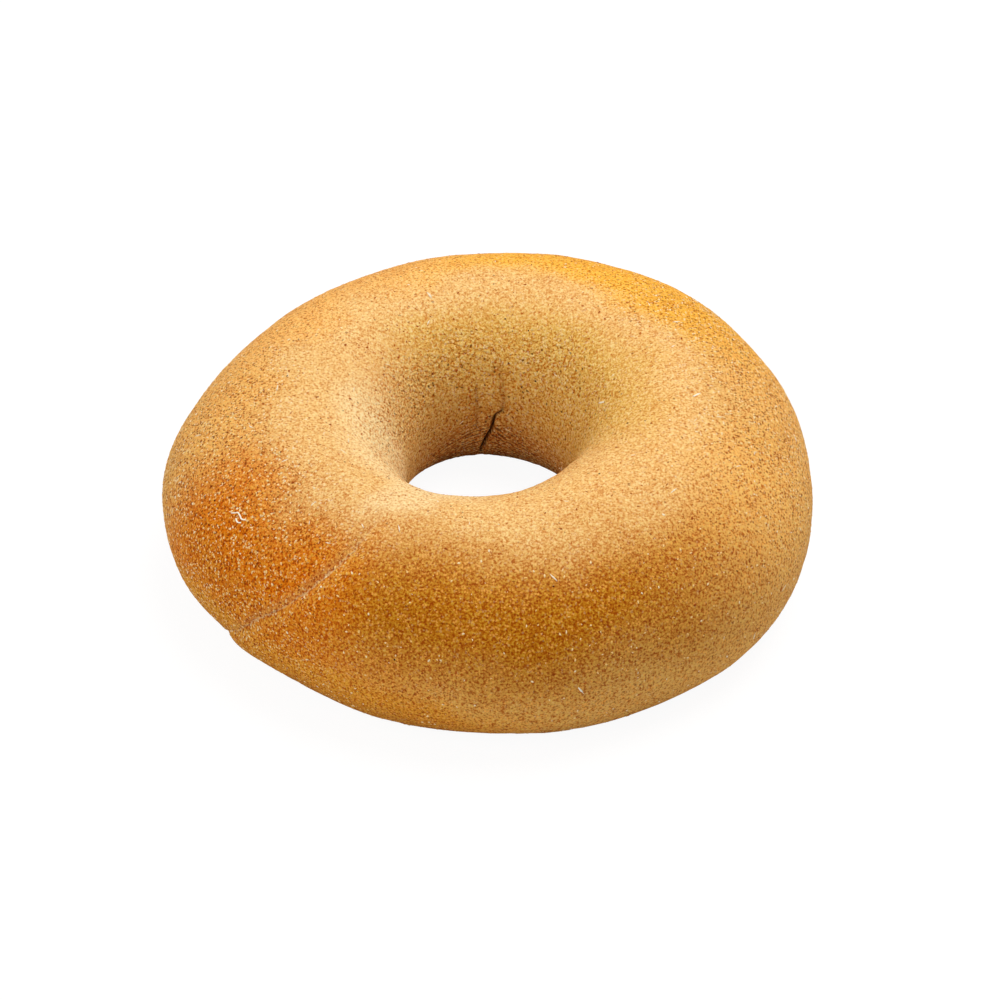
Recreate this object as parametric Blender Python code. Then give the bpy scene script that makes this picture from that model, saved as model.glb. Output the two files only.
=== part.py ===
# Multigrain bagel: one ring of baked dough, rolled from a rope whose ends lap at a seam.
# Frame: +Z up, base at z = 0, +X right, +Y away from the viewer. The origin is the middle of the
# box that the ring fills, on its base.
# Azimuth runs anticlockwise round the ring from +X. The section angle runs round the dough: 0 at
# the outer side, 90 at the crown, 180 at the wall of the hole and 270 on the flat base.
# Lengths are in mm and angles in degrees, until the mesh is made.

import bpy
import numpy as np

MM = 0.001

# Size of the ring
OUTER_RADIUS = 54.9
HOLE_RADIUS = 15.3
HEIGHT = 32.1

# Section of the dough, as shares of its width or its height
CROWN_SHARE = 0.443       # the crown's place, from the wall of the hole to the outer side
SIDE_SHARE = 0.417        # height of the widest line, on both sides
OUTER_FOOT_SHARE = 0.217  # how far the flat base stays in from the outer side
INNER_FOOT_SHARE = 0.175  # how far it stays out from the wall of the hole
CROWN_FULLNESS = 2.0      # 2 is an ellipse, and more is squarer
INNER_FULLNESS = 2.06
OUTER_FULLNESS = 2.2

# Unevenness of hand-rolled dough: waves round the ring, size in mm, azimuth of a peak
OUTER_WAVES = (
    (2, 0.44, 14.2), (3, 1.21, -50.2), (4, 0.22, -0.7), (5, 0.37, -25.8), (6, 0.09, 9.8), (8, 0.15, 11.6),
)
HOLE_WAVES = ((1, 2.33, 142.0), (2, 0.90, 76.1), (3, 0.62, -5.3), (4, 0.12, 25.0))
HEIGHT_WAVES = ((1, 0.93, -39.8), (2, 0.48, -19.5))
FOOT_WAVES = ((7, 0.35, 38.6), (11, 0.25, 20.5))

# Low swells all over the crust: waves round the ring, waves round the section, size, phase.
# The sizes are those at the outer side, and get smaller towards the hole.
SWELLS = (
    (5, 1, 0.10, 80.0),
    (7, -2, 0.09, 240.0),
    (11, 2, 0.06, 160.0),
    (13, -3, 0.04, 200.0),
)
SWELL_FADE = 5.0          # height over which the swells grow from nothing, above the flat base

# Seam where the two ends of the rope lap: climb and azimuth of points along it. The climb is the
# section angle counted from the base's outer edge, at -90, over the crown and down the hole to 270.
SEAM_AZIMUTH = 228.0
SEAM_PATH = (
    (-90.0, 207.0), (-43.0, 212.0), (-18.0, 217.6), (0.0, 221.8), (21.0, 228.6), (46.0, 235.0),
    (66.0, 238.0), (90.0, 238.4), (120.0, 236.0), (180.0, 226.0), (270.0, 207.0),
)
SEAM_DEPTHS = ((-90.0, 0.0), (-50.0, 0.45), (0.0, 0.6), (30.0, 0.5), (60.0, 0.3), (90.0, 0.12), (110.0, 0.0))
SEAM_LEFT = 9.0           # reach of the soft valley on the side of the tapering end
SEAM_RIGHT = 1.6          # and on the side of the end that stands up to it
SEAM_SHOULDER = 0.7       # rise of that end, as a share of the depth
SEAM_SHOULDER_OFFSET = 4.5
SEAM_SHOULDER_REACH = 3.5
SEAM_LINE = 0.8           # half width of the crease along its bottom
SEAM_LINE_SHARE = 0.4     # the crease's share of the depth

# Crack down the far wall of the hole: section angle and azimuth of points along it
CRACK_AZIMUTH = 93.0
CRACK_PATH = (
    (110.0, 93.0), (150.0, 88.0), (172.0, 85.8), (177.0, 89.0), (182.0, 91.3), (190.0, 92.2),
    (208.0, 95.9), (229.0, 98.0), (260.0, 97.0), (330.0, 93.0),
)
CRACK_DEPTHS = ((171.0, 0.0), (178.0, 0.7), (195.0, 1.1), (215.0, 0.9), (233.0, 0.0))
CRACK_WIDTH = 0.3         # half width of the groove

# Fineness of the mesh
CRACK_TO_SEAM_COLUMNS = 38
SEAM_TO_CRACK_COLUMNS = 66
COLUMN_CROWDING = 0.72    # 0 spaces the columns evenly, and near 1 crowds them at seam and crack
LEAN_REACH = 45.0         # how far from seam and crack the columns still lean along them
OUTER_TOP_ROWS = 15
INNER_TOP_ROWS = 14
INNER_LOW_ROWS = 12
BASE_ROWS = 3
OUTER_LOW_ROWS = 12

# Crust colour, linear, and finish
CRUST_COLOUR = (0.62, 0.31, 0.09, 1.0)
CRUST_ROUGHNESS = 0.72


def waves(azimuth, table):
    """Sum of the cosines in a table of waves round the ring."""
    total = 0.0
    for count, size, peak in table:
        total = total + size * np.cos(count * np.radians(azimuth - peak))
    return total


def along(points, x):
    """Smooth curve through a short row of (x, y) points, flat beyond its ends."""
    px, py = np.array(points, dtype=float).T
    slopes = np.gradient(py, px)
    slopes[0] = 0.0
    slopes[-1] = 0.0
    x = np.clip(x, px[0], px[-1])
    k = np.clip(np.searchsorted(px, x) - 1, 0, len(px) - 2)
    step = px[k + 1] - px[k]
    t = (x - px[k]) / step
    rise = py[k + 1] - py[k]
    ease = t * t * (3.0 - 2.0 * t)
    start = t * (1.0 - t) ** 2 * step * slopes[k]
    end = t * t * (t - 1.0) * step * slopes[k + 1]
    return py[k] + rise * ease + start + end


def column_azimuths():
    """Azimuths of the mesh's columns, crowded at the crack and at the seam."""
    spans = (
        (CRACK_AZIMUTH, SEAM_AZIMUTH, CRACK_TO_SEAM_COLUMNS),
        (SEAM_AZIMUTH, CRACK_AZIMUTH + 360.0, SEAM_TO_CRACK_COLUMNS),
    )
    columns = []
    for start, end, count in spans:
        s = np.arange(count) / count
        s = s - COLUMN_CROWDING * np.sin(2.0 * np.pi * s) / (2.0 * np.pi)
        columns.append(start + (end - start) * s)
    return np.concatenate(columns)[:, None]


def section_rows():
    """Section angle of each row, and how far across the base the flat rows lie."""
    quarters = []
    for start, count in ((0, OUTER_TOP_ROWS), (90, INNER_TOP_ROWS), (180, INNER_LOW_ROWS)):
        quarters.append(start + 90.0 * np.arange(count) / count)
    flat = np.full(BASE_ROWS, 270.0)
    low = 270.0 + 90.0 * np.arange(OUTER_LOW_ROWS) / OUTER_LOW_ROWS
    angle = np.concatenate(quarters + [flat, low])
    across = np.zeros_like(angle)
    across[angle == 270.0] = np.arange(BASE_ROWS + 1) / BASE_ROWS
    return angle[None, :], across[None, :]


def turn_from(azimuth, line):
    """Signed turn from a line's azimuth, between -180 and 180."""
    return (azimuth - line + 180.0) % 360.0 - 180.0


def climb(angle):
    """Section angle counted from -90 at the base's outer edge to 270 at its inner edge."""
    return (angle + 90.0) % 360.0 - 90.0


def lean(column, angle):
    """Azimuth of each vertex: the columns lean along the seam and the crack."""
    azimuth = column + 0.0 * angle
    for line, path, at in (
        (SEAM_AZIMUTH, SEAM_PATH, climb(angle)),
        (CRACK_AZIMUTH, CRACK_PATH, angle),
    ):
        reach = np.clip(np.abs(turn_from(column, line)) / LEAN_REACH, 0.0, 1.0)
        share = np.cos(0.5 * np.pi * reach) ** 2
        azimuth = azimuth + share * (along(path, at) - line)
    return azimuth


def quarter(fullness, angle):
    """Cosine and sine of a quarter turn, squared off by the fullness."""
    turn = np.radians(angle % 90.0)
    return np.cos(turn) ** (2.0 / fullness), np.sin(turn) ** (2.0 / fullness)


def smooth_ring(azimuth, angle, across):
    """Radius and height of the dough before the seam, the crack and the swells."""
    outer = OUTER_RADIUS + waves(azimuth, OUTER_WAVES)
    hole = HOLE_RADIUS + waves(azimuth, HOLE_WAVES)
    top = HEIGHT + waves(azimuth, HEIGHT_WAVES)
    width = outer - hole
    crown = hole + width * CROWN_SHARE
    side = top * SIDE_SHARE
    outer_foot = outer - width * OUTER_FOOT_SHARE + waves(azimuth, FOOT_WAVES)
    inner_foot = hole + width * INNER_FOOT_SHARE

    c, s = quarter(CROWN_FULLNESS, angle)
    outer_top = (crown + (outer - crown) * c, side + (top - side) * s)
    inner_top = (crown - (crown - hole) * s, side + (top - side) * c)
    c, s = quarter(INNER_FULLNESS, angle)
    inner_low = (inner_foot - (inner_foot - hole) * c, side - side * s)
    c, s = quarter(OUTER_FULLNESS, angle)
    outer_low = (outer_foot + (outer - outer_foot) * s, side - side * c)
    base = (inner_foot + (outer_foot - inner_foot) * across, 0.0 * azimuth)

    on = [angle < 90.0, angle < 180.0, angle < 270.0, angle == 270.0, angle > 270.0]
    arcs = (outer_top, inner_top, inner_low, base, outer_low)
    radius = np.select([where + 0 * azimuth > 0 for where in on], [arc[0] for arc in arcs])
    height = np.select([where + 0 * azimuth > 0 for where in on], [arc[1] for arc in arcs])
    return radius, height


def relief(column, azimuth, angle, radius, height):
    """How far each vertex moves out of the smooth surface."""
    swells = 0.0
    for round_ring, round_section, size, phase in SWELLS:
        swells = swells + size * np.cos(
            np.radians(round_ring * azimuth + round_section * angle + phase))
    fade = np.clip(height / SWELL_FADE, 0.0, 1.0)
    swells = swells * fade * fade * (3.0 - 2.0 * fade) * radius / OUTER_RADIUS

    beside = np.radians(turn_from(column, SEAM_AZIMUTH)) * radius
    depth = along(SEAM_DEPTHS, climb(angle))
    reach = np.where(beside < 0.0, SEAM_LEFT, SEAM_RIGHT)
    valley = (1.0 - SEAM_LINE_SHARE) * np.exp(-(beside / reach) ** 2)
    line = SEAM_LINE_SHARE * np.exp(-(beside / SEAM_LINE) ** 2)
    shoulder = SEAM_SHOULDER * np.exp(-((beside - SEAM_SHOULDER_OFFSET) / SEAM_SHOULDER_REACH) ** 2)
    seam = depth * (shoulder - valley - line)

    beside = np.radians(turn_from(column, CRACK_AZIMUTH)) * radius
    crack = -along(CRACK_DEPTHS, angle) * np.exp(-(beside / CRACK_WIDTH) ** 2)
    return swells + seam + crack


def outward(points):
    """Unit normals of the grid of points, pointing out of the dough."""
    along_ring = np.roll(points, -1, 0) - np.roll(points, 1, 0)
    round_section = np.roll(points, -1, 1) - np.roll(points, 1, 1)
    normals = np.cross(along_ring, round_section)
    return normals / np.linalg.norm(normals, axis=2, keepdims=True)


def ring_points():
    """Grid of points of the whole bagel, columns by rows, centred on its box."""
    column = column_azimuths()
    angle, across = section_rows()
    azimuth = lean(column, angle)
    radius, height = smooth_ring(azimuth, angle, across)
    turn = np.radians(azimuth)
    points = np.stack([radius * np.cos(turn), radius * np.sin(turn), height], axis=2)
    move = relief(column, azimuth, angle, radius, height)
    points = points + outward(points) * move[:, :, None]
    points[:, :, 2] = np.where(angle == 270.0, 0.0, np.maximum(points[:, :, 2], 0.0))
    low = points.min(axis=(0, 1))
    high = points.max(axis=(0, 1))
    points[:, :, :2] -= 0.5 * (low + high)[:2]
    return points


def ring_faces(columns, rows):
    """Quads that join neighbouring columns and rows, closed both ways."""
    faces = []
    for i in range(columns):
        for j in range(rows):
            next_i = (i + 1) % columns
            next_j = (j + 1) % rows
            faces.append((
                i * rows + j,
                next_i * rows + j,
                next_i * rows + next_j,
                i * rows + next_j,
            ))
    return faces


def crust_material():
    """Matte golden crust."""
    material = bpy.data.materials.new("bagel_crust")
    material.use_nodes = True
    shader = material.node_tree.nodes["Principled BSDF"]
    shader.inputs["Base Color"].default_value = CRUST_COLOUR
    shader.inputs["Roughness"].default_value = CRUST_ROUGHNESS
    shader.inputs["Metallic"].default_value = 0.0
    return material


def make_bagel():
    """The one solid of the bagel."""
    points = ring_points() * MM
    columns, rows, _ = points.shape
    mesh = bpy.data.meshes.new("bagel")
    mesh.from_pydata(points.reshape(-1, 3).tolist(), [], ring_faces(columns, rows))
    mesh.validate()
    mesh.shade_smooth()
    mesh.materials.append(crust_material())
    bagel = bpy.data.objects.new("bagel", mesh)
    bpy.context.collection.objects.link(bagel)
    return bagel


def main():
    for thing in list(bpy.data.objects):
        bpy.data.objects.remove(thing)
    make_bagel()


main()
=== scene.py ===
# Multigrain bagel on a white table: the crust is one ring grown by geometry nodes, a second tree
# scatters bran, flour and flakes of skin over it, and a third lays one curl of loose skin.
# Lengths in the dictionaries are in mm and angles in degrees. Azimuth runs anticlockwise round
# the ring from +X. The section angle is 0 at the outer side, 90 at the crown, 180 at the wall
# of the hole and 270 on the flat base.

import math

import bpy
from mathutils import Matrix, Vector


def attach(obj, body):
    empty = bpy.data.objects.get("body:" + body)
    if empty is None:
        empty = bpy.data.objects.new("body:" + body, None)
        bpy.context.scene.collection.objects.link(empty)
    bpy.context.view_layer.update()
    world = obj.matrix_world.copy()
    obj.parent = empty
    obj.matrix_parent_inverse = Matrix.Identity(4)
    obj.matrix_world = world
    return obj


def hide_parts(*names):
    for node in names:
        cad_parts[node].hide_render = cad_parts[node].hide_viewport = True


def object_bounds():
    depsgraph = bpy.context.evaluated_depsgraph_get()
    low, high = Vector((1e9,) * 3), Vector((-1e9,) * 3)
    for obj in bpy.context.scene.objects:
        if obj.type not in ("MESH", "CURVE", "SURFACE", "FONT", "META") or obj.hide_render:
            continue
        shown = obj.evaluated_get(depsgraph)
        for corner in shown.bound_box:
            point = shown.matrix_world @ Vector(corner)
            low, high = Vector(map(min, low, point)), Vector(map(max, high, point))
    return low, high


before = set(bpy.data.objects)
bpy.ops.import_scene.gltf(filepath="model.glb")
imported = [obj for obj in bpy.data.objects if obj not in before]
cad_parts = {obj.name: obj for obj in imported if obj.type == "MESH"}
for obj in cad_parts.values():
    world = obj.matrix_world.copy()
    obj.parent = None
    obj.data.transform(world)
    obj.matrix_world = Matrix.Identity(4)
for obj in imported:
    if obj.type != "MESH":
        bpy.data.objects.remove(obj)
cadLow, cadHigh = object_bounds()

turn = 2.0 * math.pi
calc = "ShaderNodeMath"
vector = "ShaderNodeVectorMath"
remap = "ShaderNodeMapRange"   # onto 0 to 1 unless two more values follow
noisy = "ShaderNodeTexNoise"
blend = "ShaderNodeMix"
smooth = {"interpolation_type": "SMOOTHSTEP"}
rgb = {"data_type": "RGBA"}


# Shared tools

def linear(hexCode):
    # sRGB hex to linear light, as the shaders want it
    colour = []
    for at in (0, 2, 4):
        value = int(hexCode[at:at + 2], 16) / 255.0
        colour.append(value / 12.92 if value <= 0.04045 else ((value + 0.055) / 1.055) ** 2.4)
    return (*colour, 1.0)


def addNode(tree, kind, *inputs, **settings):
    # inputs go to the node's sockets in order, or by name or number from a dictionary
    node = tree.nodes.new(kind)
    for name, value in settings.items():
        setattr(node, name, value)
    sockets = inputs[0] if inputs and isinstance(inputs[0], dict) else dict(enumerate(inputs))
    for socket, value in sockets.items():
        if isinstance(value, bpy.types.Node):
            value = value.outputs[0]
        if isinstance(value, bpy.types.NodeSocket):
            tree.links.new(value, node.inputs[socket])
        elif value is not None:
            node.inputs[socket].default_value = value
    return node


def newTree(name, sockets):
    # sockets: name, kind of socket
    tree = bpy.data.node_groups.new(name, "GeometryNodeTree")
    for socketName, kind in sockets:
        tree.interface.new_socket(socketName, in_out="INPUT", socket_type="NodeSocket" + kind)
    tree.interface.new_socket("Geometry", in_out="OUTPUT", socket_type="NodeSocketGeometry")
    return tree, addNode(tree, "NodeGroupInput").outputs


def newMaterial(name):
    material = bpy.data.materials.new(name)
    material.use_nodes = True
    return material, material.node_tree, material.node_tree.nodes["Principled BSDF"]


def shapeCurve(node, points, spanX, spanY):
    # points in real units onto the 0 to 1 square of a Float Curve
    curve = node.mapping.curves[0]
    while len(curve.points) < len(points):
        curve.points.new(0.5, 0.5)
    for point, (x, y) in zip(curve.points, points):
        point.location = ((x - spanX[0]) / (spanX[1] - spanX[0]), (y - spanY[0]) / (spanY[1] - spanY[0]))
    node.mapping.update()


def fillRamp(node, stops):
    # stops: position, hex colour
    ramp = node.color_ramp
    while len(ramp.elements) < len(stops):
        ramp.elements.new(0.5)
    for element, (at, colour) in zip(ramp.elements, stops):
        element.position = at
        element.color = linear(colour)


def inMillimetres(tree):
    # object coordinates for the patterns of a material
    spot = addNode(tree, "ShaderNodeTexCoord").outputs["Object"]
    return addNode(tree, vector, {0: spot, 3: 1000.0}, operation="SCALE")


def overlap(tree, *masks):
    # where all the masks lie over one another
    shared = masks[0]
    for mask in masks[1:]:
        shared = addNode(tree, calc, shared, mask, operation="MULTIPLY")
    return shared


def bell(tree, distance, reach):
    # exp(-(distance / reach)^2)
    share = addNode(tree, calc, distance, reach, operation="DIVIDE")
    square = addNode(tree, calc, share, share, operation="MULTIPLY")
    minus = addNode(tree, calc, square, -1.0, operation="MULTIPLY")
    return addNode(tree, calc, minus, operation="EXPONENT")


def closeTree(tree, shape, material):
    # every tree ends the same way
    shape = addNode(tree, "GeometryNodeRealizeInstances", shape)
    shape = addNode(tree, "GeometryNodeSetShadeSmooth", shape)
    shape = addNode(tree, "GeometryNodeSetMaterial", {"Geometry": shape, "Material": material})
    addNode(tree, "NodeGroupOutput", shape)
    return tree


def growPiece(name, tree, values, startMesh=None):
    # runs a tree on a new object and keeps the result as a plain mesh
    mesh = startMesh.copy() if startMesh else bpy.data.meshes.new(name)
    piece = bpy.data.objects.new(name, mesh)
    bpy.context.collection.objects.link(piece)
    modifier = piece.modifiers.new("grow", "NODES")
    modifier.node_group = tree
    for socket in tree.interface.items_tree:
        if socket.in_out == "INPUT" and socket.name in values:
            modifier[socket.identifier] = values[socket.name]
    depsgraph = bpy.context.evaluated_depsgraph_get()
    plain = bpy.data.meshes.new_from_object(
        piece.evaluated_get(depsgraph), preserve_all_data_layers=True, depsgraph=depsgraph)
    piece.modifiers.remove(modifier)
    piece.data = plain
    plain.name = name
    print(name, len(plain.vertices), "points", len(plain.polygons), "faces")
    return piece


# The ring of dough

ring = {
    "columns": 420,
    "seamColumns": 154,        # columns from the crack round to the seam
    "columnCrowding": 0.45,    # 0 spaces the columns evenly, near 1 crowds them at seam and crack
    # rows on the outer top, inner top, inner low, base and outer low part of the section
    "rows": (64, 56, 32, 30, 36),
    "Outer radius": 54.9,
    "Hole radius": 15.3,
    "Height": 32.1,
    "Crown share": 0.443,      # the crown's place between the hole and the outer side
    "Side share": 0.417,       # height of the widest line
    "Outer foot share": 0.217, # how far the flat base stays in from the outer side
    "Inner foot share": 0.175,
    "Inner fullness": 2.06,    # 2 is an ellipse, more is squarer
    "Outer fullness": 2.2,
    # hand-rolled dough is uneven: waves round the ring, size, azimuth of a peak
    "outerWaves": ((2, 0.44, 14.2), (3, 1.21, -50.2), (4, 0.22, -0.7), (5, 0.37, -25.8),
                   (6, 0.09, 9.8), (8, 0.15, 11.6)),
    "holeWaves": ((1, 2.33, 142.0), (2, 0.90, 76.1), (3, 0.62, -5.3), (4, 0.12, 25.0)),
    "heightWaves": ((1, 0.93, -39.8), (2, 0.48, -19.5)),
    "footWaves": ((7, 0.35, 38.6), (11, 0.25, 20.5)),
    # low swells: waves round the ring, waves round the section, size, phase
    "swells": ((5, 1, 0.10, 80.0), (7, -2, 0.09, 240.0), (11, 2, 0.06, 160.0), (13, -3, 0.04, 200.0)),
    "Lump height": 0.13,
    "lumpSpacing": 5.0,
    "Grain height": 0.05,
    "grainSpacing": 1.6,       # the finest that the mesh can carry
    # seam where the rope's two ends lap: climb and azimuth of points along it
    "seamAzimuth": 228.0,
    "seamPath": ((-90, 207), (-43, 212), (-18, 217.6), (0, 221.8), (21, 228.6), (46, 235),
                 (66, 238), (90, 238.4), (120, 236), (180, 226), (270, 207)),
    "seamDepths": ((-90, 0), (-50, 0.45), (0, 0.6), (30, 0.5), (60, 0.3), (90, 0.12), (110, 0), (270, 0)),
    "seamLeft": 9.0,           # reach of the soft valley on its left
    "seamRight": 1.6,
    "seamShoulder": 0.7,       # the end that stands up on its right
    "seamShoulderOffset": 4.5,
    "seamShoulderReach": 3.5,
    "seamLine": 0.6,           # width of the crease between, and its share of the depth
    "seamLineShare": 0.45,
    # crack down the far wall of the hole
    "crackAzimuth": 93.0,
    "crackPath": ((-90, 93), (110, 93), (150, 88), (172, 85.8), (177, 89), (182, 91.3), (190, 92.2),
                  (208, 95.9), (229, 98), (270, 97)),
    "crackDepths": ((-90, 0), (171, 0), (178, 0.7), (195, 1.1), (215, 0.9), (233, 0), (270, 0)),
    "crackDeepest": 1.2,       # top of the curve through those depths
    "crackWidth": 0.3,
    # thin fold in the wall, left of the crack
    "foldAzimuth": 100.4,
    "foldDepths": ((-90, 0), (150, 0), (164, 0.8), (184, 1), (192, 0), (270, 0)),
    "Fold depth": 0.16,
    "foldWidth": 0.26,
    "Base dimple": 0.22,       # hollows that the tray leaves in the base
    "dimpleScale": 0.3,        # hollows in each mm
    "leanReach": 45.0,         # how far from seam and crack the columns still lean along them
    "Seed": 3.0,
    "room": 0.07,              # left free inside the solid's box for the flecks to stand proud
}


def sumWaves(tree, azimuth, start, table):
    # adds size * cos(count * (azimuth - peak)) for each wave, azimuth in radians
    total = start
    for count, size, peak in table:
        phase = addNode(tree, calc, azimuth, count, -count * math.radians(peak), operation="MULTIPLY_ADD")
        wave = addNode(tree, calc, phase, operation="COSINE")
        total = addNode(tree, calc, wave, size, total, operation="MULTIPLY_ADD")
    return total


def buildRingTree(size):
    # its inputs are the names in the dictionary that start with a capital
    names = [name for name in size if name[0].isupper()]
    tree, given = newTree("bagelRing", [(name, "Float") for name in names] + [("Crust", "Material")])

    rows = size["rows"]
    sheet = addNode(tree, "GeometryNodeMeshGrid", 1.0, 1.0, size["columns"] + 1, sum(rows) + 1)
    corner = addNode(tree, "ShaderNodeSeparateXYZ", addNode(tree, "GeometryNodeInputPosition"))
    roundRing = addNode(tree, calc, corner.outputs["X"], 0.5, operation="ADD")
    roundSection = addNode(tree, calc, corner.outputs["Y"], 0.5, operation="ADD")

    # columns, crowded at the crack and at the seam
    share = size["seamColumns"] / size["columns"]
    span = size["seamAzimuth"] - size["crackAzimuth"]
    column = size["crackAzimuth"]
    for begin, end, degrees in ((0.0, share, span), (share, 1.0, 360.0 - span)):
        part = addNode(tree, remap, roundRing, begin, end)
        phase = addNode(tree, calc, part, turn, operation="MULTIPLY")
        wave = addNode(tree, calc, phase, operation="SINE")
        crowd = addNode(tree, calc, wave, -size["columnCrowding"] / turn, part, operation="MULTIPLY_ADD")
        column = addNode(tree, calc, crowd, degrees, column, operation="MULTIPLY_ADD")

    # rows: four arcs and the flat base between the third and the fourth
    angle = 0.0
    across = None
    begin = 0.0
    for number, count in enumerate(rows):
        end = begin + count / sum(rows)
        if number == 3:
            across = addNode(tree, remap, roundSection, begin, end)
        else:
            arc = addNode(tree, remap, roundSection, begin, end, 0.0, 90.0)
            angle = addNode(tree, calc, arc, angle, operation="ADD")
        begin = end
    climb = addNode(tree, calc, angle, 270.0, -90.0, operation="WRAP")
    climbShare = addNode(tree, remap, climb, -90.0, 270.0)

    # columns lean along the seam and the crack
    azimuth = column
    turns = []
    nears = []
    for line, path in (("seamAzimuth", "seamPath"), ("crackAzimuth", "crackPath")):
        off = addNode(tree, calc, column, size[line], operation="SUBTRACT")
        off = addNode(tree, calc, off, 180.0, -180.0, operation="WRAP")
        far = addNode(tree, calc, off, operation="ABSOLUTE")
        reach = addNode(tree, remap, far, 0.0, size["leanReach"], 0.0, turn / 4.0)
        near = addNode(tree, calc, reach, operation="COSINE")
        near = addNode(tree, calc, near, near, operation="MULTIPLY")
        curve = addNode(tree, "ShaderNodeFloatCurve", 1.0, climbShare)
        shapeCurve(curve, size[path], (-90.0, 270.0), (size[line] - 30.0, size[line] + 30.0))
        lean = addNode(tree, remap, curve, 0.0, 1.0, -30.0, 30.0)
        azimuth = addNode(tree, calc, near, lean, azimuth, operation="MULTIPLY_ADD")
        turns.append(addNode(tree, calc, off, math.radians(1.0), operation="MULTIPLY"))
        nears.append(near)
    azimuth = addNode(tree, calc, azimuth, math.radians(1.0), operation="MULTIPLY")

    # section of the dough at each azimuth
    outer = sumWaves(tree, azimuth, given["Outer radius"], size["outerWaves"])
    hole = sumWaves(tree, azimuth, given["Hole radius"], size["holeWaves"])
    top = sumWaves(tree, azimuth, given["Height"], size["heightWaves"])
    width = addNode(tree, calc, outer, hole, operation="SUBTRACT")
    crown = addNode(tree, calc, width, given["Crown share"], hole, operation="MULTIPLY_ADD")
    side = addNode(tree, calc, top, given["Side share"], operation="MULTIPLY")
    foot = addNode(tree, calc, width, given["Outer foot share"], operation="MULTIPLY")
    outerFoot = addNode(tree, calc, outer, foot, operation="SUBTRACT")
    outerFoot = sumWaves(tree, azimuth, outerFoot, size["footWaves"])
    innerFoot = addNode(tree, calc, width, given["Inner foot share"], hole, operation="MULTIPLY_ADD")

    radians = addNode(tree, calc, angle, math.radians(1.0), operation="MULTIPLY")
    cosine = addNode(tree, calc, radians, operation="COSINE")
    sine = addNode(tree, calc, radians, operation="SINE")
    outward = addNode(tree, calc, cosine, 0.0, operation="MAXIMUM")
    inward = addNode(tree, calc, cosine, -1.0, operation="MULTIPLY")
    inward = addNode(tree, calc, inward, 0.0, operation="MAXIMUM")
    depth = addNode(tree, calc, sine, operation="ABSOLUTE")
    isOuter = addNode(tree, calc, cosine, 0.0, operation="GREATER_THAN")
    isTop = addNode(tree, calc, angle, 180.0, operation="LESS_THAN")

    # top half: two quarter ellipses that meet at the crown
    outerTop = addNode(tree, calc, addNode(tree, calc, outer, crown, operation="SUBTRACT"), outward, crown,
                       operation="MULTIPLY_ADD")
    innerTop = addNode(tree, calc, addNode(tree, calc, crown, hole, operation="SUBTRACT"), inward,
                       operation="MULTIPLY")
    topRadius = addNode(tree, calc, outerTop, innerTop, operation="SUBTRACT")
    topHeight = addNode(tree, calc, addNode(tree, calc, top, side, operation="SUBTRACT"), depth, side,
                        operation="MULTIPLY_ADD")

    # low half: fuller quarters down to the flat base
    innerPower = addNode(tree, calc, 2.0, given["Inner fullness"], operation="DIVIDE")
    outerPower = addNode(tree, calc, 2.0, given["Outer fullness"], operation="DIVIDE")
    power = addNode(tree, blend, {0: isOuter, 2: innerPower, 3: outerPower})
    flat = addNode(tree, blend, {0: across, 2: innerFoot, 3: outerFoot})
    outward = addNode(tree, calc, outward, outerPower, operation="POWER")
    inward = addNode(tree, calc, inward, innerPower, operation="POWER")
    outerLow = addNode(tree, calc, addNode(tree, calc, outer, outerFoot, operation="SUBTRACT"), outward, flat,
                       operation="MULTIPLY_ADD")
    innerLow = addNode(tree, calc, addNode(tree, calc, innerFoot, hole, operation="SUBTRACT"), inward,
                       operation="MULTIPLY")
    lowRadius = addNode(tree, calc, outerLow, innerLow, operation="SUBTRACT")
    drop = addNode(tree, calc, depth, power, operation="POWER")
    drop = addNode(tree, calc, side, drop, operation="MULTIPLY")
    lowHeight = addNode(tree, calc, side, drop, operation="SUBTRACT")

    radius = addNode(tree, blend, {0: isTop, 2: lowRadius, 3: topRadius})
    height = addNode(tree, blend, {0: isTop, 2: lowHeight, 3: topHeight})
    x = addNode(tree, calc, radius, addNode(tree, calc, azimuth, operation="COSINE"), operation="MULTIPLY")
    y = addNode(tree, calc, radius, addNode(tree, calc, azimuth, operation="SINE"), operation="MULTIPLY")
    place = addNode(tree, "ShaderNodeCombineXYZ", x, y, height)

    # swells, less towards the hole and none on the base
    swell = 0.0
    for countRing, countSection, swellSize, phase in size["swells"]:
        wave = addNode(tree, calc, radians, countSection, math.radians(phase), operation="MULTIPLY_ADD")
        wave = addNode(tree, calc, azimuth, countRing, wave, operation="MULTIPLY_ADD")
        wave = addNode(tree, calc, wave, operation="COSINE")
        swell = addNode(tree, calc, wave, swellSize, swell, operation="MULTIPLY_ADD")
    fade = addNode(tree, remap, height, 0.0, 5.0, **smooth)
    outerShare = addNode(tree, calc, radius, given["Outer radius"], operation="DIVIDE")
    swell = overlap(tree, fade, outerShare, swell)

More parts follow.
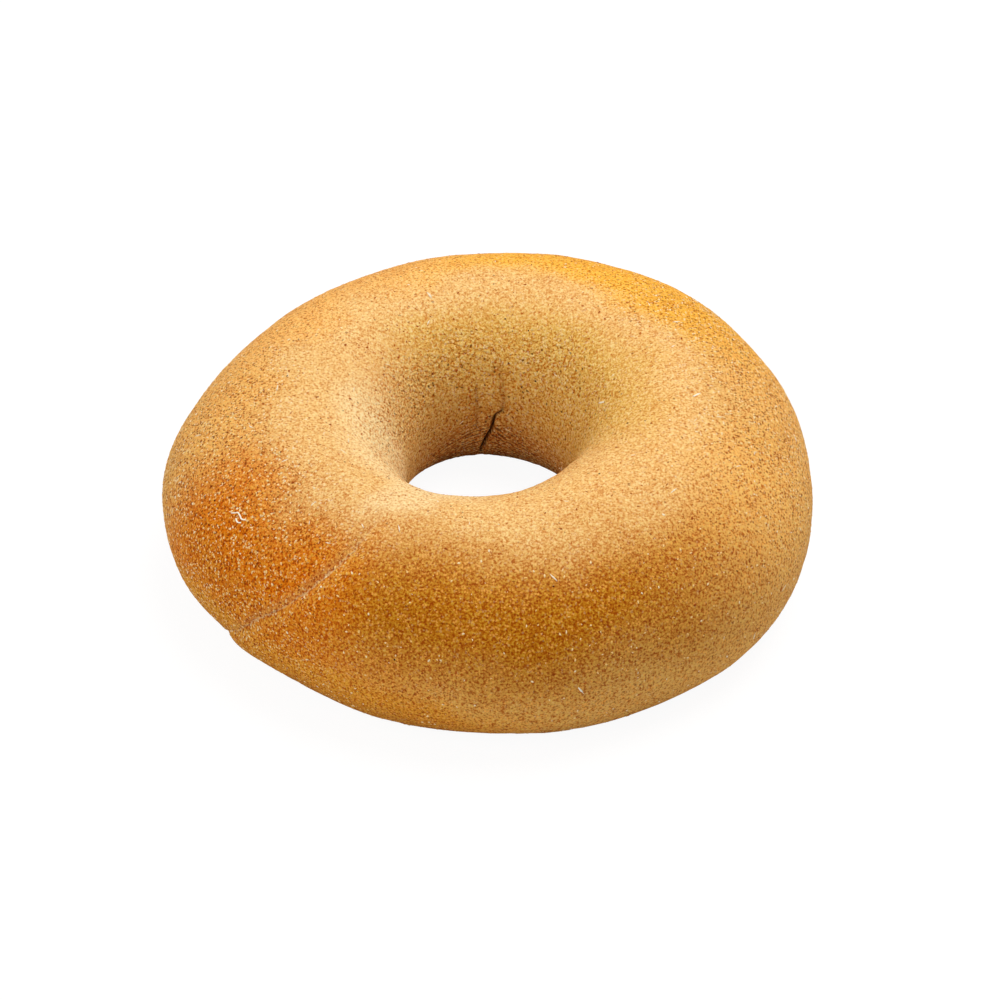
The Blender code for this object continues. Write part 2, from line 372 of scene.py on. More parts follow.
    # seam: a soft valley on its left, an end that stands up to it on its right, a crease between
    beside = addNode(tree, calc, turns[0], radius, operation="MULTIPLY")
    curve = addNode(tree, "ShaderNodeFloatCurve", 1.0, climbShare)
    shapeCurve(curve, size["seamDepths"], (-90.0, 270.0), (0.0, 1.0))
    isRight = addNode(tree, calc, beside, 0.0, operation="GREATER_THAN")
    reach = addNode(tree, blend, {0: isRight, 2: size["seamLeft"], 3: size["seamRight"]})
    valley = addNode(tree, calc, bell(tree, beside, reach), 1.0 - size["seamLineShare"], operation="MULTIPLY")
    crease = addNode(tree, calc, bell(tree, beside, size["seamLine"]), size["seamLineShare"], valley,
                     operation="MULTIPLY_ADD")
    offset = addNode(tree, calc, beside, size["seamShoulderOffset"], operation="SUBTRACT")
    shoulder = bell(tree, offset, size["seamShoulderReach"])
    shoulder = addNode(tree, calc, shoulder, size["seamShoulder"], operation="MULTIPLY")
    seam = addNode(tree, calc, shoulder, crease, operation="SUBTRACT")
    relief = addNode(tree, calc, seam, curve, swell, operation="MULTIPLY_ADD")

    # crack: a narrow groove
    split = addNode(tree, calc, turns[1], radius, operation="MULTIPLY")
    curve = addNode(tree, "ShaderNodeFloatCurve", 1.0, climbShare)
    shapeCurve(curve, size["crackDepths"], (-90.0, 270.0), (0.0, size["crackDeepest"]))
    groove = addNode(tree, calc, bell(tree, split, size["crackWidth"]), curve, operation="MULTIPLY")
    relief = addNode(tree, calc, groove, -size["crackDeepest"], relief, operation="MULTIPLY_ADD")

    # the thin fold
    off = addNode(tree, calc, azimuth, math.radians(size["foldAzimuth"]), operation="SUBTRACT")
    off = addNode(tree, calc, off, turn / 2.0, -turn / 2.0, operation="WRAP")
    off = addNode(tree, calc, off, radius, operation="MULTIPLY")
    curve = addNode(tree, "ShaderNodeFloatCurve", 1.0, climbShare)
    shapeCurve(curve, size["foldDepths"], (-90.0, 270.0), (0.0, 1.0))
    fold = addNode(tree, calc, bell(tree, off, size["foldWidth"]), curve, operation="MULTIPLY")
    deep = addNode(tree, calc, given["Fold depth"], -1.0, operation="MULTIPLY")
    relief = addNode(tree, calc, fold, deep, relief, operation="MULTIPLY_ADD")

    # what the material needs later: mm beside the seam and the crack, the climb and the fold
    body = sheet
    for name, value in (("relief", relief), ("seamBeside", beside), ("crackBeside", split), ("climb", climb),
                        ("nearSeam", nears[0]), ("nearCrack", nears[1]), ("fade", fade), ("fold", fold)):
        body = addNode(tree, "GeometryNodeStoreNamedAttribute",
                       {"Geometry": body, "Name": name, "Value": value}, data_type="FLOAT", domain="POINT")
    body = addNode(tree, "GeometryNodeSetPosition", {"Geometry": body, "Position": place})
    body = addNode(tree, "GeometryNodeMergeByDistance", {"Geometry": body, "Distance": 0.002})

    # relief out along the normals, with the lumps and grain of the baked dough
    move, grainFade = [addNode(tree, "GeometryNodeInputNamedAttribute", name, data_type="FLOAT").outputs[0]
                       for name in ("relief", "fade")]
    spot = addNode(tree, "GeometryNodeInputPosition")
    for name, spacing in (("Lump height", size["lumpSpacing"]), ("Grain height", size["grainSpacing"])):
        noise = addNode(tree, noisy,
                        {"Vector": spot, "W": given["Seed"], "Scale": 1.0 / spacing, "Detail": 1.0},
                        noise_dimensions="4D")
        rise = addNode(tree, remap, noise, 0.2, 0.8, -1.0, 0.6)
        rise = addNode(tree, calc, rise, given[name], operation="MULTIPLY")
        move = addNode(tree, calc, rise, grainFade, move, operation="MULTIPLY_ADD")
    noise = addNode(tree, noisy, {"Vector": spot, "Scale": size["dimpleScale"], "Detail": 3.0})
    dimple = addNode(tree, remap, noise, 0.5, 0.75, 0.0, -1.0, **smooth)
    dimple = addNode(tree, calc, dimple, given["Base dimple"], operation="MULTIPLY")
    underneath = addNode(tree, calc, 1.0, grainFade, operation="SUBTRACT")
    move = addNode(tree, calc, dimple, underneath, move, operation="MULTIPLY_ADD")
    out = addNode(tree, vector, {0: addNode(tree, "GeometryNodeInputNormal"), 3: move},
                  operation="SCALE")
    body = addNode(tree, "GeometryNodeSetPosition", {"Geometry": body, "Offset": out})
    body = addNode(tree, "GeometryNodeTransform", {"Geometry": body, "Scale": (0.001, 0.001, 0.001)})
    return closeTree(tree, body, given["Crust"])


def fitInBox(piece, room):
    # centres the ring on the solid's box and keeps it a hair inside
    points = [vertex.co for vertex in piece.data.vertices]
    low = [min(point[k] for point in points) for k in range(3)]
    high = [max(point[k] for point in points) for k in range(3)]
    for vertex in piece.data.vertices:
        for k in range(2):
            scale = min(1.0, (cadHigh[k] - cadLow[k] - 2.0 * room) / (high[k] - low[k]))
            vertex.co[k] = 0.5 * (cadLow[k] + cadHigh[k]) + scale * (vertex.co[k] - 0.5 * (low[k] + high[k]))
        vertex.co[2] = max(0.0, vertex.co[2]) * min(1.0, (cadHigh[2] - room) / high[2])


# Crust material

crustLook = {
    "tan": "F1BD74",           # the crown, where all the other tones start from
    # where the oven left other tones, and where painted shade darkens the hole low down and along the near
    # rim: name, colour, section angles where it starts and is full, azimuth it faces, cosines of the turn
    # from there where it starts and is full, strength
    "tones": (
        ("warmCrown", "F0B86C", 56, 74, 10, -0.3, 0.5, 0.75),
        ("golden", "F7B862", 95, 50, None, 0, 0, 0.88),
        ("gold", "FFBA40", 90, 68, 68, 0.48, 0.9, 0.95),
        ("brownBack", "CC862E", 54, 20, 100, 0.25, 0.8, 0.9),
        ("backTan", "FABA66", 92, 66, 145, 0.5, 0.9, 0.9),
        ("innerPale", "FFDC9E", 102, 126, 212, 0.45, 0.85, 0.95),
        ("seamPale", "FFDEA4", 78, 98, 241, 0.975, 0.995, 0.6),
        ("brown", "C0740E", 100, 46, 268, 0.36, 0.96, 1.0),
        ("ochre", "E6B254", 92, 128, 55, -0.2, 0.6, 1.0),
        ("ochreLeft", "E4B460", 128, 165, 140, 0.8, 0.95, 0.6),
        # browner crust of the wall, reaching round to paint the shade where the near rim meets the wall
        ("umber", "C88840", 160, 214, 78, 0.1, 0.8, 1.0),
        # painted shade low on the far wall of the hole, over a browner crust
        ("deepUmberShade", "7A4414", 215, 238, 60, -0.1, 0.6, 1.0),
        ("wheat", "E4AC5A", 34, -16, None, 0, 0, 1.0),
        ("orange", "E67A06", 96, 32, 218, 0.85, 0.985, 1.0),
        ("orangeLow", "D07A18", 32, 8, 229, 0.80, 0.97, 0.6),
        ("wheatLeft", "DC922C", 2, -24, 228, 0.5, 0.9, 1.0),
        ("tray", "A06A28", -20, -72, None, 0, 0, 1.0),
        ("trayInner", "A06A28", 226, 256, None, 0, 0, 1.0),
    ),
    # section angles where the browned outside, the base, the wall of the hole and the rough flanks
    # start and are full
    "browned": (92.0, 55.0),
    "base": (236.0, 260.0),
    "wall": (112.0, 145.0),
    "flankTop": (100.0, 68.0),
    "flankFoot": (-50.0, -20.0),
    "middle": (1.245, -0.349), # of the ring
    "crown": 33.2,             # radius and height of the middle of the section
    "side": 13.4,
    "reach": (21.7, 17.7, 18.7, 13.4),   # from there out, in, up and down
    "wander": 9.0,             # degrees that the borders between the tones wander
    "wanderSpacing": 16.0,
    "mottleSpacing": 6.0,      # uneven browning
    "mottleColour": "C0641C",
    "mottle": 0.24,
    "grainSpacing": 0.4,       # crumbs and pits of the dry skin, 0.1 to 0.4 mm in the real one
    "crumbs": (0.52, 0.65),    # noise where a crumb starts and is full
    "crumbCalm": "BCA66C",     # light that a crumb adds, its paler skin and a painted highlight, where the skin stayed pale and where it browned
    "crumbBrowned": "A07C2C",
    # pits darken by their brown and by painted shade
    "pits": (0.48, 0.38),
    "pitColour": "D09652",
    "pit": 0.9,                # strength
    "calm": 0.62,              # share of the pits that the crown keeps
    "wallGrain": 1.1,          # and what the wall of the hole has
    "rippleSpacing": 0.8,      # mm between the ripples of the skin
    "ripple": 0.48,
    # dots of bran and flour that lie in the skin. Layers: spacing, radius where a dot ends as a
    # share of the spacing, kinds. Kinds: the cells that have one, from and to, colour where the
    # skin stayed pale and where it browned, strength on the calm parts, on the two flanks and in
    # the wall of the hole
    "dots": (
        (0.45, 0.50, (
            (0.00, 0.27, "CE7828", "943600", 0.62, 0.85, 0.35),
            (0.33, 0.58, "FFDE9E", "FDB454", 0.60, 0.80, 0.60),
            (0.72, 0.89, "FFF0CC", "FFDFA0", 0.20, 0.95, 0.40),
        )),
        (0.82, 0.30, (
            (0.00, 0.20, "C2621C", "862C00", 0.65, 0.90, 0.55),
            (0.40, 0.44, "7C2A04", "6C2200", 0.60, 0.80, 0.90),
            (0.52, 0.72, "4C1E02", "4C1E02", 0.00, 0.00, 0.80),
        )),
    ),
    "dotHeight": 0.075,        # mm
    "flankAzimuth": 15.0,      # the two flanks where flour dried on face this way and the opposite one
    "flankTurn": (0.35, 0.85), # sines of the turn from there where the flank starts to end and has ended
    # greyer band left of the seam, lip on its right in its own orange with painted light on its raised edge,
    # pale line in it: colour, mm beside it, width, strength
    "seamMarks": (("C49C62", -0.9, 1.0, 0.3), ("E79A38", 1.5, 1.2, 0.5), ("DCC093", 0.0, 0.22, 0.6)),
    "ragged": 0.35,            # mm that the marks stray from their line
    # painted shade inside the crack
    "crack": "2E160A",
    "crackWidth": 0.24,
    "crackStart": (170.0, 176.0),        # climbs where it starts and is full, fades and has gone
    "crackEnd": (236.0, 222.0),
    "fold": "9A5420",          # painted shade in the fold, and in the soft hollow above the crack
    "foldWidth": 0.7,
    "foldShadeStrength": 0.6,
    "hollowShadeStrength": 0.45,
    "wrinkle": "5A2E10",       # painted shade of stretch wrinkles that rise towards the crack on both sides
    "wrinkleSpacing": 4.2,     # degrees of section
    "wrinkleSlope": 2.4,       # degrees of section for each mm from the crack
    "wrinkleReach": (21.0, 8.0),         # mm from the crack where they start and are full
    "wrinkleShadeStrength": 0.8,
    "roughness": (0.78, 0.6),  # in the pits and on the crumbs
    "gloss": 0.05,
}


def turnFromFlanks(tree, heading):
    # sine of the turn away from the two flanks
    across = math.radians(crustLook["flankAzimuth"] + 90.0)
    facing = addNode(tree, vector, heading, (math.cos(across), math.sin(across), 0.0),
                     operation="DOT_PRODUCT")
    return addNode(tree, calc, facing.outputs["Value"], operation="ABSOLUTE")


def crustMaterial(look):
    # Boiled and baked wholemeal dough: a dry starch skin, matt and finely pitted, darker and redder where it
    # had more heat, with bran and flour showing in it as dots. Shade in the hole, the crack, the fold, the
    # wrinkles and the pits is painted in, and so is light on the crumbs and the seam's lip.
    material, tree, shader = newMaterial("bakedWholemealCrust")
    mm = inMillimetres(tree)
    place = addNode(tree, vector, mm, (*look["middle"], 0.0), operation="SUBTRACT")
    height = addNode(tree, "ShaderNodeSeparateXYZ", place).outputs["Z"]
    flat = addNode(tree, vector, place, (1.0, 1.0, 0.0), operation="MULTIPLY")
    radius = addNode(tree, vector, flat, operation="LENGTH").outputs["Value"]
    heading = addNode(tree, vector, flat, operation="NORMALIZE")

    # section angle in degrees, -90 at the middle of the base round to 270
    away = addNode(tree, calc, radius, look["crown"], operation="SUBTRACT")
    rise = addNode(tree, calc, height, look["side"], operation="SUBTRACT")
    parts = []
    for value, plus, minus in ((away, *look["reach"][:2]), (rise, *look["reach"][2:])):
        isPlus = addNode(tree, calc, value, 0.0, operation="GREATER_THAN")
        reach = addNode(tree, blend, {0: isPlus, 2: minus, 3: plus})
        parts.append(addNode(tree, calc, value, reach, operation="DIVIDE"))
    angle = addNode(tree, calc, parts[1], parts[0], operation="ARCTAN2")
    angle = addNode(tree, calc, angle, 360.0 / turn, operation="MULTIPLY")
    angle = addNode(tree, calc, angle, 270.0, -90.0, operation="WRAP")
    wander = addNode(tree, noisy, {"Vector": mm, "Scale": 1.0 / look["wanderSpacing"], "Detail": 2.0})
    wander = addNode(tree, remap, wander, 0.3, 0.7, -look["wander"], look["wander"])
    warm = addNode(tree, calc, angle, wander, operation="ADD")

    # what the ring's tree stored
    beside, nearSeam, climb, split, nearCrack, fold = [
        addNode(tree, "ShaderNodeAttribute", attribute_name=name).outputs["Fac"]
        for name in ("seamBeside", "nearSeam", "climb", "crackBeside", "nearCrack", "fold")]

    # oven tones, and painted shade deep in the hole
    colour = addNode(tree, blend, {6: linear(look["tan"]), 7: linear(look["tan"])}, **rgb)
    for _, tone, start, full, azimuth, edge, core, strength in look["tones"]:
        mask = addNode(tree, remap, warm, start, full, 0.0, strength, **smooth)
        if azimuth is not None:
            toward = (math.cos(math.radians(azimuth)), math.sin(math.radians(azimuth)), 0.0)
            dot = addNode(tree, vector, heading, toward, operation="DOT_PRODUCT").outputs["Value"]
            sector = addNode(tree, remap, dot, edge, core, **smooth)
            mask = addNode(tree, calc, mask, sector, operation="MULTIPLY")
        colour = addNode(tree, blend, {0: mask, 6: colour.outputs[2], 7: linear(tone)}, **rgb)

    # uneven browning, in patches
    mottle = addNode(tree, noisy,
                     {"Vector": mm, "Scale": 1.0 / look["mottleSpacing"], "Detail": 5.0, "Roughness": 0.62})
    mottle = addNode(tree, remap, mottle, 0.5, 0.72, 0.0, look["mottle"], **smooth)
    browned = addNode(tree, remap, warm, *look["browned"], **smooth)
    # the base is alike from the hole to the outer side
    base = addNode(tree, remap, warm, *look["base"], **smooth)
    browned = addNode(tree, calc, browned, base, operation="MAXIMUM")
    mottle = overlap(tree, mottle, addNode(tree, calc, browned, 0.75, 0.25, operation="MULTIPLY_ADD"))
    colour = addNode(tree, blend, {0: mottle, 6: colour.outputs[2], 7: linear(look["mottleColour"])}, **rgb)

    # the seam, a pale line where the skin folded in
    ragged = addNode(tree, noisy, {"Vector": mm, "Scale": 0.9, "Detail": 3.0})
    ragged = addNode(tree, remap, ragged, 0.3, 0.7, -look["ragged"], look["ragged"])
    beside = addNode(tree, calc, beside, ragged, operation="ADD")
    close = addNode(tree, remap, nearSeam, 0.5, 0.8)
    low = addNode(tree, remap, climb, -60.0, -20.0)
    high = addNode(tree, remap, climb, 92.0, 55.0)
    close = overlap(tree, close, low, high)
    # the greyer band, the lip's strip (its own orange and painted light on its raised edge) and the pale line
    for tone, middle, reach, strength in look["seamMarks"]:
        offset = addNode(tree, calc, beside, middle, operation="SUBTRACT")
        mask = overlap(tree, bell(tree, offset, reach), strength, close)
        colour = addNode(tree, blend, {0: mask, 6: colour.outputs[2], 7: linear(tone)}, **rgb)

    # where the skin is rougher: the flanks, and the wall of the hole
    flank = addNode(tree, remap, turnFromFlanks(tree, heading), *look["flankTurn"], 1.0, 0.0, **smooth)
    upper = addNode(tree, remap, warm, *look["flankTop"], **smooth)
    foot = addNode(tree, remap, warm, *look["flankFoot"], **smooth)
    flank = overlap(tree, flank, upper, foot)
    wall = addNode(tree, remap, warm, *look["wall"], **smooth)
    wall = addNode(tree, calc, wall, base, operation="SUBTRACT", use_clamp=True)
    coarse = addNode(tree, calc, browned, 1.0 - look["calm"], look["calm"], operation="MULTIPLY_ADD")
    coarse = addNode(tree, calc, wall, look["wallGrain"] - look["calm"], coarse, operation="MULTIPLY_ADD")

    # grain: crumbs stay pale and pits hold the brown; the paler crumbs are partly painted highlight and the
    # darker pits partly painted shade
    grain = addNode(tree, noisy,
                    {"Vector": mm, "Scale": 1.0 / look["grainSpacing"], "Detail": 2.0, "Roughness": 0.66})
    crumb = addNode(tree, remap, grain, *look["crumbs"])
    pale = addNode(tree, blend, {
        0: browned, 6: linear(look["crumbCalm"]), 7: linear(look["crumbBrowned"])}, **rgb)
    pit = addNode(tree, remap, grain, *look["pits"], 0.0, look["pit"])
    pit = overlap(tree, pit, coarse)
    colour = addNode(tree, blend, {0: crumb, 6: colour.outputs[2], 7: pale.outputs[2]},
                     **rgb, blend_type="SCREEN")
    colour = addNode(tree, blend, {0: pit, 6: colour.outputs[2], 7: linear(look["pitColour"])},
                     **rgb, blend_type="MULTIPLY")

    # dots of bran and flour
    jitter = addNode(tree, noisy, {"Vector": mm, "Scale": 3.0, "Detail": 1.0})
    jitter = addNode(tree, vector, jitter.outputs["Color"], (0.5, 0.5, 0.5), operation="SUBTRACT")
    jitter = addNode(tree, vector, {0: jitter, 3: 0.5}, operation="SCALE")
    shaken = addNode(tree, vector, mm, jitter, operation="ADD")
    relief = None
    for number, (spacing, size, kinds) in enumerate(look["dots"]):
        moved = addNode(tree, vector, shaken, (17.3 * number, 0.0, 0.0), operation="ADD")
        cells = addNode(tree, "ShaderNodeTexVoronoi", {"Vector": moved, "Scale": 1.0 / spacing})
        chance = addNode(tree, "ShaderNodeSeparateColor", cells.outputs["Color"]).outputs[0]
        dot = addNode(tree, remap, cells.outputs["Distance"], size, size * 0.7)
        if relief is None:
            # some dots stand proud and some are pits
            relief = overlap(tree, dot, addNode(tree, calc, chance, 0.45, operation="SUBTRACT"))
        for begin, end, onPale, onBrowned, onCalm, onFlank, onWall in kinds:
            tint = addNode(tree, blend, {0: browned, 6: linear(onPale), 7: linear(onBrowned)}, **rgb)
            middle = 0.5 * (begin + end)
            chosen = addNode(tree, calc, chance, middle, 0.5 * (end - begin), operation="COMPARE")
            strength = addNode(tree, calc, flank, onFlank - onCalm, onCalm, operation="MULTIPLY_ADD")
            strength = addNode(tree, calc, wall, onWall - onCalm, strength, operation="MULTIPLY_ADD")
            mask = overlap(tree, dot, chosen, strength)
            colour = addNode(tree, blend, {0: mask, 6: colour.outputs[2], 7: tint.outputs[2]}, **rgb)

    # the crack is painted near black: painted shade inside the narrow groove
    split = addNode(tree, calc, ragged, 0.4, split, operation="MULTIPLY_ADD")
    near = addNode(tree, remap, nearCrack, 0.5, 0.8)
    low = addNode(tree, remap, climb, *look["crackStart"])
    high = addNode(tree, remap, climb, *look["crackEnd"])
    dark = overlap(tree, near, 0.95, low, high, bell(tree, split, look["crackWidth"]))
    # painted shade in the soft hollow above the crack, and in the fold
    above = addNode(tree, remap, climb, 140.0, 165.0)
    below = addNode(tree, remap, climb, 185.0, 170.0, 0.0, look["hollowShadeStrength"])
    soft = overlap(tree, bell(tree, split, look["foldWidth"]), above, below, near)
    soft = addNode(tree, calc, fold, look["foldShadeStrength"], soft, operation="MULTIPLY_ADD")
    colour = addNode(tree, blend, {0: soft, 6: colour.outputs[2], 7: linear(look["fold"])}, **rgb)

    # stretch wrinkles, drawn only in colour: short dark lines of painted shade along lines that rise towards
    # the crack
    gap = addNode(tree, calc, split, operation="ABSOLUTE")
    phase = addNode(tree, calc, gap, -look["wrinkleSlope"], climb, operation="MULTIPLY_ADD")
    phase = addNode(tree, calc, ragged, 4.0, phase, operation="MULTIPLY_ADD")
    phase = addNode(tree, calc, phase, turn / look["wrinkleSpacing"], operation="MULTIPLY")
    line = addNode(tree, remap, addNode(tree, calc, phase, operation="COSINE"), 0.2, 0.85)
    broken = addNode(tree, noisy, {"Vector": mm, "Scale": 1.1, "Detail": 1.0})
    broken = addNode(tree, remap, broken, 0.38, 0.5)
    span = addNode(tree, remap, gap, *look["wrinkleReach"], **smooth)
    low = addNode(tree, remap, phase, turn * 176.0 / look["wrinkleSpacing"],
                  turn * 190.0 / look["wrinkleSpacing"])
    line = overlap(tree, line, broken, span, low, wall, look["wrinkleShadeStrength"])
    colour = addNode(tree, blend, {0: line, 6: colour.outputs[2], 7: linear(look["wrinkle"])}, **rgb)

    # painted shade in the crack goes on over all the rest
    colour = addNode(tree, blend, {0: dark, 6: colour.outputs[2], 7: linear(look["crack"])}, **rgb)
    tree.links.new(colour.outputs[2], shader.inputs["Base Color"])

    # gloss and relief: fine grain and dots, and ripples on the flanks and in the hole
    rough = addNode(tree, remap, grain, 0.3, 0.7, *look["roughness"])
    tree.links.new(rough.outputs[0], shader.inputs["Roughness"])
    shader.inputs["IOR"].default_value = 1.45
    shader.inputs["Specular IOR Level"].default_value = look["gloss"]
    ripple = addNode(tree, noisy,
                     {"Vector": mm, "Scale": 1.0 / look["rippleSpacing"], "Detail": 1.0, "Distortion": 0.6})
    relief = addNode(tree, calc, relief, look["dotHeight"] * 2.0, operation="MULTIPLY")
    relief = addNode(tree, calc, grain, 0.2, relief, operation="MULTIPLY_ADD")
    relief = addNode(tree, calc, ripple, look["ripple"], relief, operation="MULTIPLY_ADD")
    rougher = addNode(tree, calc, addNode(tree, calc, wall, flank, operation="ADD"), 0.7, 0.3,
                      operation="MULTIPLY_ADD")
    bump = addNode(tree, "ShaderNodeBump", {"Strength": rougher, "Distance": 0.001, "Height": relief})
    tree.links.new(bump.outputs[0], shader.inputs["Normal"])
    return material


print("ring")
crust = growPiece("crust", buildRingTree(ring), {**ring, "Crust": crustMaterial(crustLook)})
fitInBox(crust, ring["room"] / 1000.0)
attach(crust, "root")
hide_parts("bagel")


# Flecks of bran, specks of flour and flakes of skin

branFlecks = {
    "Per square cm": 14.0,
    "Smallest": 0.24,          # length of a fleck
    "Largest": 0.7,
    "Breadth": 0.6,            # as a share of the length
    "Thickness": 0.12,
    "Sink": 0.012,             # how deep its edge sits below the skin
    "Patchiness": 0.6,
    "Ends share": 1.0,         # how thick they lie at front and back, on the crown and in the hole,
    "Crown share": 0.8,        # against the two flanks
    "Wall share": 1.5,
    "Seed": 5,
}

blackFlecks = {
    "Per square cm": 0.7,
    "Smallest": 0.24,
    "Largest": 0.55,
    "Breadth": 0.65,
    "Thickness": 0.12,
    "Sink": 0.012,
    "Patchiness": 0.3,
    "Ends share": 0.8,
    "Crown share": 0.7,
    "Wall share": 3.0,
    "Seed": 11,
}

flourSpecks = {
    "Per square cm": 72.0,
    "Smallest": 0.24,
    "Largest": 0.7,
    "Breadth": 0.55,
    "Thickness": 0.14,
    "Sink": 0.01,
    "Patchiness": 0.6,
    "Ends share": 0.2,
    "Crown share": 0.4,
    "Wall share": 0.04,
    "Seed": 23,
}

skinFlakes = {
    "Per square cm": 0.8,
    "Smallest": 0.8,
    "Largest": 2.0,
    "Breadth": 0.2,
    "Thickness": 0.12,
    "Sink": 0.01,
    "Patchiness": 1.0,
    "Ends share": 0.3,
    "Crown share": 1.0,
    "Wall share": 1.0,
    "Seed": 31,
}


def buildFleckTree(name):
    # flat chips of a few shapes, laid on the skin at random and sunk into it. Its inputs are the
    # names in each dictionary above
    inputs = [(key, "Int" if key == "Seed" else "Float") for key in branFlecks]
    tree, given = newTree(name, [("Geometry", "Geometry"), *inputs, ("Material", "Material")])

    # thicker in patches and on the flanks, none on the flat base
    spot = addNode(tree, "GeometryNodeInputPosition")
    patch = addNode(tree, noisy, {"Vector": spot, "Scale": 160.0, "Detail": 2.0})
    patch = addNode(tree, remap, patch, 0.4, 0.6, -1.0, 1.0)
    patch = addNode(tree, calc, patch, given["Patchiness"], 1.0, operation="MULTIPLY_ADD")
    flat = addNode(tree, vector, spot, (1.0, 1.0, 0.0), operation="MULTIPLY")
    heading = addNode(tree, vector, flat, operation="NORMALIZE")
    away = turnFromFlanks(tree, heading)
    ends = addNode(tree, remap, away, *crustLook["flankTurn"], 1.0, given["Ends share"])
    normal = addNode(tree, "GeometryNodeInputNormal")
    facing = addNode(tree, "ShaderNodeSeparateXYZ", normal).outputs["Z"]
    crown = addNode(tree, remap, facing, 0.75, 0.97, 1.0, given["Crown share"])
    dot = addNode(tree, vector, heading, normal, operation="DOT_PRODUCT").outputs["Value"]
    wall = addNode(tree, remap, dot, 0.2, -0.3, 1.0, given["Wall share"])
    above = addNode(tree, calc, facing, -0.9, operation="GREATER_THAN")
    density = addNode(tree, calc, given["Per square cm"], 10000.0, operation="MULTIPLY")
    density = overlap(tree, density, patch, ends, crown, wall, above)
    spread = addNode(tree, "GeometryNodeDistributePointsOnFaces",
                     {"Mesh": given["Geometry"], "Density": density, "Seed": given["Seed"]})
    sink = addNode(tree, calc, given["Sink"], -0.001, operation="MULTIPLY")
    inward = addNode(tree, vector, {0: spread.outputs["Normal"], 3: sink}, operation="SCALE")
    points = addNode(tree, "GeometryNodeSetPosition", {"Geometry": spread, "Offset": inward})

    # four uneven chips
    chips = addNode(tree, "GeometryNodeGeometryToInstance")
    for number in range(4):
        blank = addNode(tree, "GeometryNodeMeshCone", {
            "Vertices": 5, "Radius Top": 0.0003, "Radius Bottom": 0.0005, "Depth": 0.0004})
        uneven = addNode(tree, noisy, {"Vector": spot, "W": 3.7 * number, "Scale": 1600.0, "Detail": 0.0},
                         noise_dimensions="4D")
        uneven = addNode(tree, remap, uneven, 0.3, 0.7, -0.45, 0.45)
        shift = addNode(tree, vector, {0: spot, 3: uneven}, operation="SCALE")
        chip = addNode(tree, "GeometryNodeSetPosition", {"Geometry": blank, "Offset": shift})
        tree.links.new(chip.outputs[0], chips.inputs[0])

    # each with its own length, breadth, turn and tone
    randoms = []
    for number, (low, high) in enumerate(((0.0, 1.0), (0.7, 1.3), (0.0, turn), (0.0, 1.0))):
        seed = addNode(tree, calc, given["Seed"], number + 1.0, operation="ADD")
        randoms.append(addNode(tree, "FunctionNodeRandomValue", {2: low, 3: high, "Seed": seed},
                               data_type="FLOAT").outputs[1])
    small = addNode(tree, calc, randoms[0], 1.6, operation="POWER")
    length = addNode(tree, remap, small, 0.0, 1.0, given["Smallest"], given["Largest"])
    breadth = addNode(tree, calc, length, given["Breadth"], operation="MULTIPLY")
    breadth = addNode(tree, calc, breadth, randoms[1], operation="MULTIPLY")
    size = addNode(tree, "ShaderNodeCombineXYZ", length, breadth, given["Thickness"])
    spin = addNode(tree, "ShaderNodeCombineXYZ", 0.0, 0.0, randoms[2])
    spin = addNode(tree, "FunctionNodeEulerToRotation", spin)
    lie = addNode(tree, "FunctionNodeRotateRotation", spread.outputs["Rotation"], spin,
                  rotation_space="LOCAL")
    laid = addNode(tree, "GeometryNodeInstanceOnPoints", {
        "Points": points, "Instance": chips, "Pick Instance": True, "Rotation": lie, "Scale": size})
    laid = addNode(tree, "GeometryNodeStoreNamedAttribute",
                   {"Geometry": laid, "Name": "tone", "Value": randoms[3]},
                   data_type="FLOAT", domain="INSTANCE")
    return closeTree(tree, laid, given["Material"])


def fleckMaterial(name, stops, roughness):
    # one tone for each fleck, from its own random number, with a little unevenness inside it
    material, tree, shader = newMaterial(name)
    tone = addNode(tree, "ShaderNodeAttribute", attribute_name="tone")
    mm = inMillimetres(tree)
    uneven = addNode(tree, noisy, {"Vector": mm, "Scale": 4.0, "Detail": 1.0})
    uneven = addNode(tree, remap, uneven, 0.3, 0.7, -0.15, 0.15)
    mixed = addNode(tree, calc, tone.outputs["Fac"], uneven, operation="ADD")
    ramp = addNode(tree, "ShaderNodeValToRGB", mixed)
    fillRamp(ramp, stops)
    tree.links.new(ramp.outputs["Color"], shader.inputs["Base Color"])
    shader.inputs["Roughness"].default_value = roughness
    shader.inputs["Specular IOR Level"].default_value = 0.06
    return material


fleckTree = buildFleckTree("laidFlecks")
# Bran is the wheat's dry husk: thin translucent flakes, red-brown once baked.
branHusk = fleckMaterial("bakedBranHusk", ((0.0, "983E0C"), (0.4, "BC641E"), (1.0, "DC9A4C")), 0.6)
# A few husks are scorched to near black.
scorchedHusk = fleckMaterial("scorchedBranHusk", ((0.0, "200C02"), (1.0, "581E04")), 0.55)
# Grains of flour and starch that dried on the skin: pale, dry and matt.
dryFlour = fleckMaterial("driedFlour", (
    (0.0, "F2BC60"), (0.35, "FED486"), (0.65, "FFE2A8"), (1.0, "FFF0CC")), 0.7)
# Skin that lifted while the dough was boiled dries to pale curled slivers.
drySkin = fleckMaterial("driedSkin", ((0.0, "F4D49A"), (1.0, "FFF8E4")), 0.7)
print("flecks")
for name, values, material in (
        ("branFlecks", branFlecks, branHusk), ("blackFlecks", blackFlecks, scorchedHusk),
        ("flourSpecks", flourSpecks, dryFlour), ("skinFlakes", skinFlakes, drySkin)):
    flecks = growPiece(name, fleckTree, {**values, "Material": material}, crust.data)
    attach(flecks, "root")


# Thread of skin that came loose on the left flank

